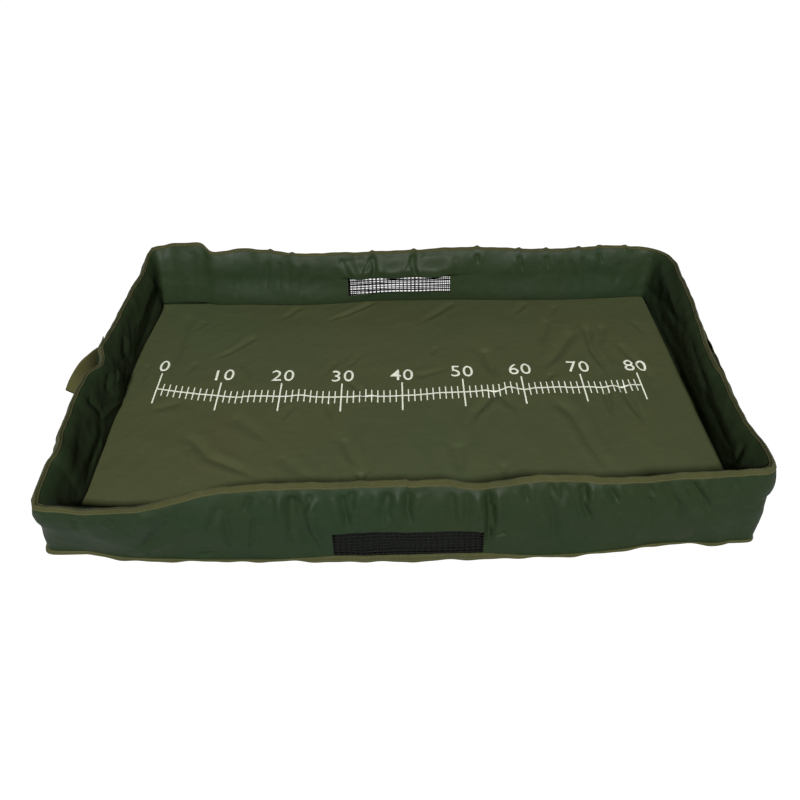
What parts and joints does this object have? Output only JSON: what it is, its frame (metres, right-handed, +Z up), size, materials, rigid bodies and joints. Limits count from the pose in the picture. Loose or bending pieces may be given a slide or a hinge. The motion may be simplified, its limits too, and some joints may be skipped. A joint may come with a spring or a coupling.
{
  "type": "unhooking mat",
  "caption": "Padded tray-like fishing mat with a ruled floor, soft walls that fold inwards on sewn hinges, mesh drain windows and closing straps.",
  "frame": {"origin": "middle of the underside, on the ground", "axes": "+X along the ruler from 0 to 80, +Y away from the person who reads it, +Z up"},
  "size_m": [1.0386, 0.602, 0.1301],
  "materials": {
    "floor_cloth": "satin",
    "wall_cloth": "satin",
    "ground_cloth": "matte",
    "binding_tape": "matte",
    "webbing": "matte",
    "drain_net": "matte",
    "hook_pile": "matte",
    "loop_pile": "matte",
    "foam": "matte"
  },
  "bodies": {
    "base": {"ground_sheet": "ground_cloth", "base_foam": "foam", "floor_cloth": "floor_cloth", "front_left_corner_outer_cloth": "wall_cloth", "front_left_corner_inner_cloth": "wall_cloth", "front_left_corner_rim_tape": "binding_tape", "front_left_corner_base_tape": "binding_tape", "front_right_corner_outer_cloth": "wall_cloth", "front_right_corner_inner_cloth": "wall_cloth", "front_right_corner_rim_tape": "binding_tape", "front_right_corner_base_tape": "binding_tape", "back_left_corner_outer_cloth": "wall_cloth", "back_left_corner_inner_cloth": "wall_cloth", "back_left_corner_rim_tape": "binding_tape", "back_left_corner_base_tape": "binding_tape", "back_right_corner_outer_cloth": "wall_cloth", "back_right_corner_inner_cloth": "wall_cloth", "back_right_corner_rim_tape": "binding_tape", "back_right_corner_base_tape": "binding_tape"},
    "front_wall": {"front_wall_outer_cloth": "wall_cloth", "front_wall_inner_cloth": "wall_cloth", "front_rim_tape": "binding_tape", "front_base_tape": "binding_tape", "front_wall_foam_left": "foam", "front_wall_foam_right": "foam", "front_outer_drain_net": "drain_net", "front_inner_drain_net": "drain_net"},
    "right_wall": {"right_wall_outer_cloth": "wall_cloth", "right_wall_inner_cloth": "wall_cloth", "right_rim_tape": "binding_tape", "right_base_tape": "binding_tape", "right_wall_foam": "foam", "right_strap_sewn_end": "webbing"},
    "back_wall": {"back_wall_outer_cloth": "wall_cloth", "back_wall_inner_cloth": "wall_cloth", "back_rim_tape": "binding_tape", "back_base_tape": "binding_tape", "back_wall_foam_left": "foam", "back_wall_foam_right": "foam", "back_outer_drain_net": "drain_net", "back_inner_drain_net": "drain_net"},
    "left_wall": {"left_wall_outer_cloth": "wall_cloth", "left_wall_inner_cloth": "wall_cloth", "left_rim_tape": "binding_tape", "left_base_tape": "binding_tape", "left_wall_foam": "foam", "left_strap_sewn_end": "webbing"},
    "left_strap": {"left_strap": "webbing", "left_strap_hook_patch": "hook_pile"},
    "right_strap": {"right_strap": "webbing", "right_strap_loop_patch": "loop_pile"}
  },
  "joints": [
    {"name": "front_wall_fold", "type": "hinge", "parent": "base", "child": "front_wall", "pos_m": [0, -0.262, 0.03], "axis": [-1, 0, 0], "range_deg": [0, 80], "deforming": ["front_left_corner_outer_cloth", "front_left_corner_inner_cloth", "front_left_corner_rim_tape", "front_right_corner_outer_cloth", "front_right_corner_inner_cloth", "front_right_corner_rim_tape", "back_left_corner_outer_cloth", "back_left_corner_inner_cloth", "back_left_corner_rim_tape", "back_right_corner_outer_cloth", "back_right_corner_inner_cloth", "back_right_corner_rim_tape"]},
    {"name": "back_wall_fold", "type": "hinge", "parent": "base", "child": "back_wall", "pos_m": [0, 0.262, 0.03], "axis": [1, 0, 0], "range_deg": [0, 80]},
    {"name": "left_wall_fold", "type": "hinge", "parent": "base", "child": "left_wall", "pos_m": [-0.462, 0, 0.03], "axis": [0, 1, 0], "range_deg": [0, 80]},
    {"name": "right_wall_fold", "type": "hinge", "parent": "base", "child": "right_wall", "pos_m": [0.462, 0, 0.03], "axis": [0, -1, 0], "range_deg": [0, 80]},
    {"name": "left_strap_swing", "type": "hinge", "parent": "left_wall", "child": "left_strap", "pos_m": [-0.50047, 0.022, 0.0835], "axis": [-0.3134, 0, -0.9496], "range_deg": [-2, 140]},
    {"name": "right_strap_swing", "type": "hinge", "parent": "right_wall", "child": "right_strap", "pos_m": [0.50047, 0.105, 0.0835], "axis": [-0.3134, 0, 0.9496], "range_deg": [0, 165]}
  ],
  "couplings": [
    {"joint": "back_wall_fold", "follows": "front_wall_fold", "ratio": 1},
    {"joint": "left_wall_fold", "follows": "front_wall_fold", "ratio": 1},
    {"joint": "right_wall_fold", "follows": "front_wall_fold", "ratio": 1}
  ]
}
